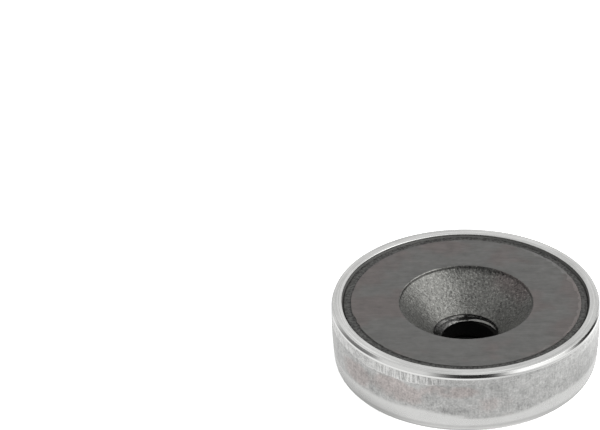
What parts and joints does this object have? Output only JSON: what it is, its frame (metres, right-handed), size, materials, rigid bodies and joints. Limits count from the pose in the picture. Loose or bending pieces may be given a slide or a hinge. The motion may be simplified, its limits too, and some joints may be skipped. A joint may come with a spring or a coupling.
{
  "type": "pot magnet",
  "caption": "Round pot magnet: a ferrite ring with a countersunk screw hole, bonded with resin into a drawn steel cup. Lies on its closed back, holding face up.",
  "frame": {"origin": "centre of the closed back face, on the axis of the screw hole", "axes": "+Z along the screw hole, from the closed back towards the holding face; +X and +Y are free, because the part is round"},
  "size_m": [0.025, 0.025, 0.007],
  "materials": {
    "pot_steel": "satin drawn wall, finely turned rim",
    "ferrite": "matt grey sintered ferrite, ground on the face",
    "resin": "dark matt potting resin"
  },
  "bodies": {
    "root": {"steel_pot": "pot_steel", "ferrite_magnet": "ferrite", "potting_resin": "resin"}
  },
  "joints": []
}
